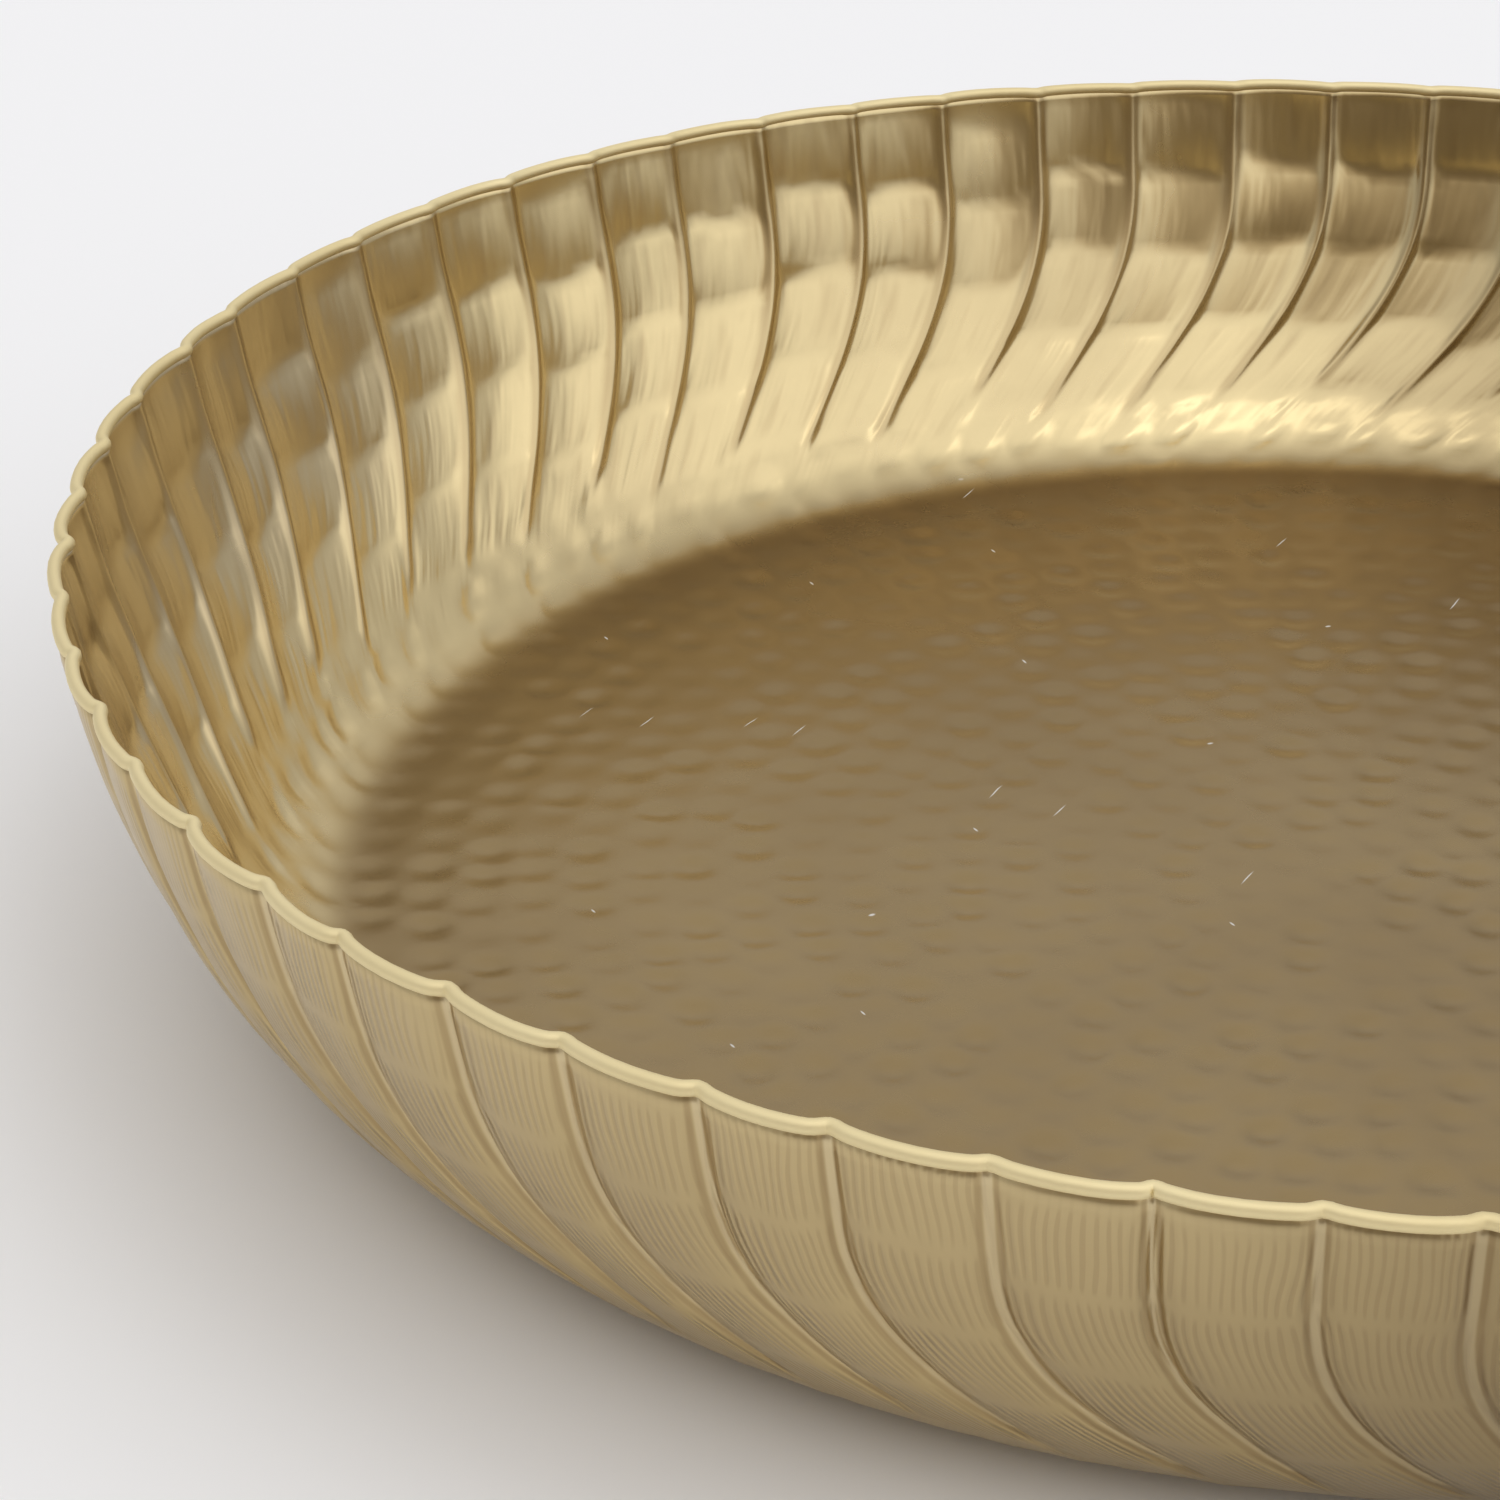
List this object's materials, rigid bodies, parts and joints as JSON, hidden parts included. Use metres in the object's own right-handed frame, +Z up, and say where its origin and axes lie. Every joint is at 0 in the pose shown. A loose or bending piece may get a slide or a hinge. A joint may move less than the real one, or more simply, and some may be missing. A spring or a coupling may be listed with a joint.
{
  "type": "tray",
  "caption": "Round raised brass tray with a flat hammered floor, an upright fluted wall, a beaded rim and felt pads under the base.",
  "frame": {"origin": "centre of the tray, on the surface that its felt pads stand on", "axes": "+Z up out of the dish, along the tray's axis; X and Y are level, and the tray looks the same every way round but for its pads and the start of its flutes"},
  "size_m": [0.4, 0.3998, 0.0662],
  "materials": {
    "hammered_brass": "satin, hand hammered",
    "polished_brass": "polished",
    "felt": "matt felt"
  },
  "bodies": {
    "root": {"dish": "hammered_brass", "rim_bead": "polished_brass", "felt_pad_1": "felt", "felt_pad_2": "felt", "felt_pad_3": "felt", "felt_pad_4": "felt"}
  },
  "joints": []
}
